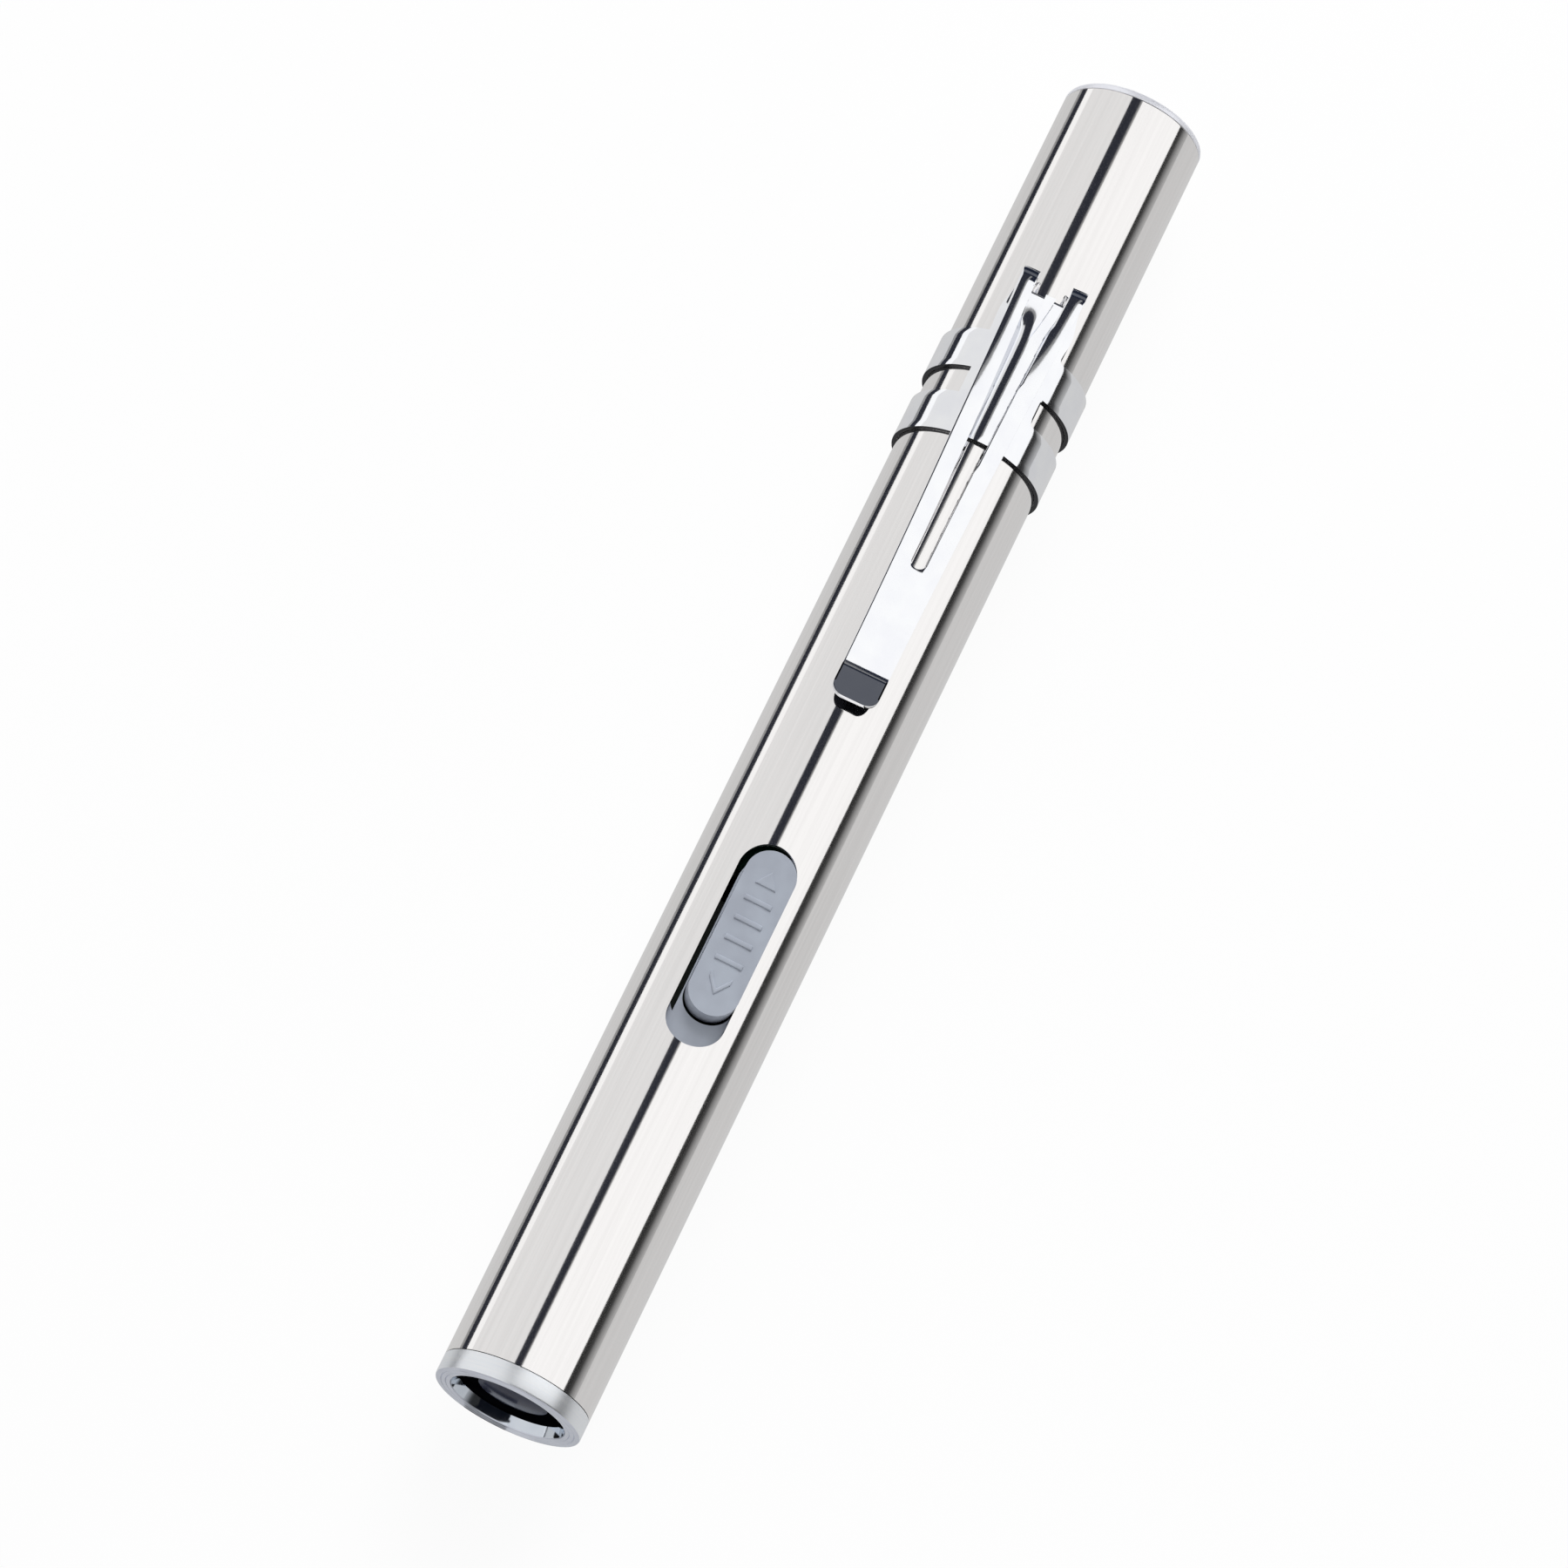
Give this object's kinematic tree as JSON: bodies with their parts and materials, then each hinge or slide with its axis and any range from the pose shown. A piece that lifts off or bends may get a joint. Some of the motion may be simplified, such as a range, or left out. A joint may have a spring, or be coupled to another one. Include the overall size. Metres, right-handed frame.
{
  "type": "penlight",
  "caption": "Slim steel pocket light with a slide button, a rotating pull-off cap that carries a folded slit spring clip, and a charging plug under the cap.",
  "frame": {"origin": "centre of the lens-end face, on the tube's axis", "axes": "+X along the tube from the lens end to the tail, +Z out through the slide button and the clip, +Y completes the right-handed frame"},
  "size_m": [0.14, 0.0148, 0.0161],
  "materials": {
    "tube_steel": "drawn stainless tube, polished to a mirror that is slightly softened along its length",
    "bezel_aluminium": "fine-turned aluminium, clear anodised, faint blue cast",
    "holder_black": "moulded black plastic, fine matt",
    "lens_clear": "clear moulded acrylic",
    "gasket_rubber": "soft black silicone rubber",
    "reflector_metallised": "plastic bowl with a vacuum-metallised mirror face",
    "led_package": "white ceramic body with a yellow phosphor and a clear silicone dome",
    "led_board_aluminium": "aluminium-core board with white solder mask",
    "heat_sink_aluminium": "turned aluminium, bare",
    "lead_insulation": "silicone insulation over stranded copper",
    "chassis_plastic": "moulded dark grey ABS",
    "board_laminate": "glass-fibre board with green solder mask",
    "chip_epoxy": "black moulding epoxy",
    "passive_ceramic": "tan ceramic with tinned ends",
    "switch_shell": "tinned steel sheet",
    "switch_lever_black": "black acetal",
    "button_grey": "silver-grey moulded ABS with a fine metallic lacquer",
    "cell_can": "nickel-plated steel can",
    "cell_sleeve_green": "heat-shrunk PVC film",
    "tab_nickel": "spot-welded nickel strip",
    "plug_base_black": "moulded black nylon",
    "oring_rubber": "black nitrile rubber",
    "usb_shell_plated": "nickel-plated steel sheet",
    "usb_tongue_white": "white glass-filled plastic",
    "contact_gold": "gold-plated brass",
    "tail_aluminium": "polished aluminium, faint blue cast",
    "clip_chrome": "bright chromed spring steel, tumbled edges"
  },
  "bodies": {
    "barrel": {"barrel_tube": "tube_steel", "bezel_ring": "bezel_aluminium", "lens_holder": "holder_black", "lens": "lens_clear", "lens_gasket": "gasket_rubber", "reflector": "reflector_metallised", "led_emitter": "led_package", "led_board": "led_board_aluminium", "heat_sink": "heat_sink_aluminium", "led_wires": "lead_insulation", "chassis": "chassis_plastic", "circuit_board": "board_laminate", "charge_chip": "chip_epoxy", "driver_chip": "chip_epoxy", "chip_passives": "passive_ceramic", "switch_body": "switch_shell", "battery_cell": "cell_can", "cell_sleeve": "cell_sleeve_green", "cell_tabs": "tab_nickel", "power_leads": "lead_insulation", "plug_base": "plug_base_black", "usb_shell": "usb_shell_plated", "usb_tongue": "usb_tongue_white", "usb_contacts": "contact_gold"},
    "slider": {"slide_button": "button_grey", "switch_lever": "switch_lever_black"},
    "neck_ring": {"neck_oring": "oring_rubber"},
    "cap": {"cap_tube": "tube_steel", "tail_plug": "tail_aluminium", "clip_saddle": "clip_chrome"},
    "clip_arm": {"clip_arm": "clip_chrome"}
  },
  "joints": [
    {"name": "slider_travel", "type": "slide", "parent": "barrel", "child": "slider", "axis": [-1, 0, 0], "range_m": [0, 0.0027]},
    {"name": "cap_turn", "type": "hinge", "parent": "barrel", "child": "neck_ring", "pos_m": [0.10227, 0, 0], "axis": [1, 0, 0], "continuous": true},
    {"name": "cap_pull", "type": "slide", "parent": "neck_ring", "child": "cap", "axis": [1, 0, 0], "range_m": [0, 0.05]},
    {"name": "clip_flex", "type": "hinge", "parent": "cap", "child": "clip_arm", "pos_m": [0.11717, 0, 0.00794], "axis": [0, 1, 0], "range_deg": [0, 5], "stiffness_Nm_per_rad": 1, "springref_deg": -1.15}
  ]
}
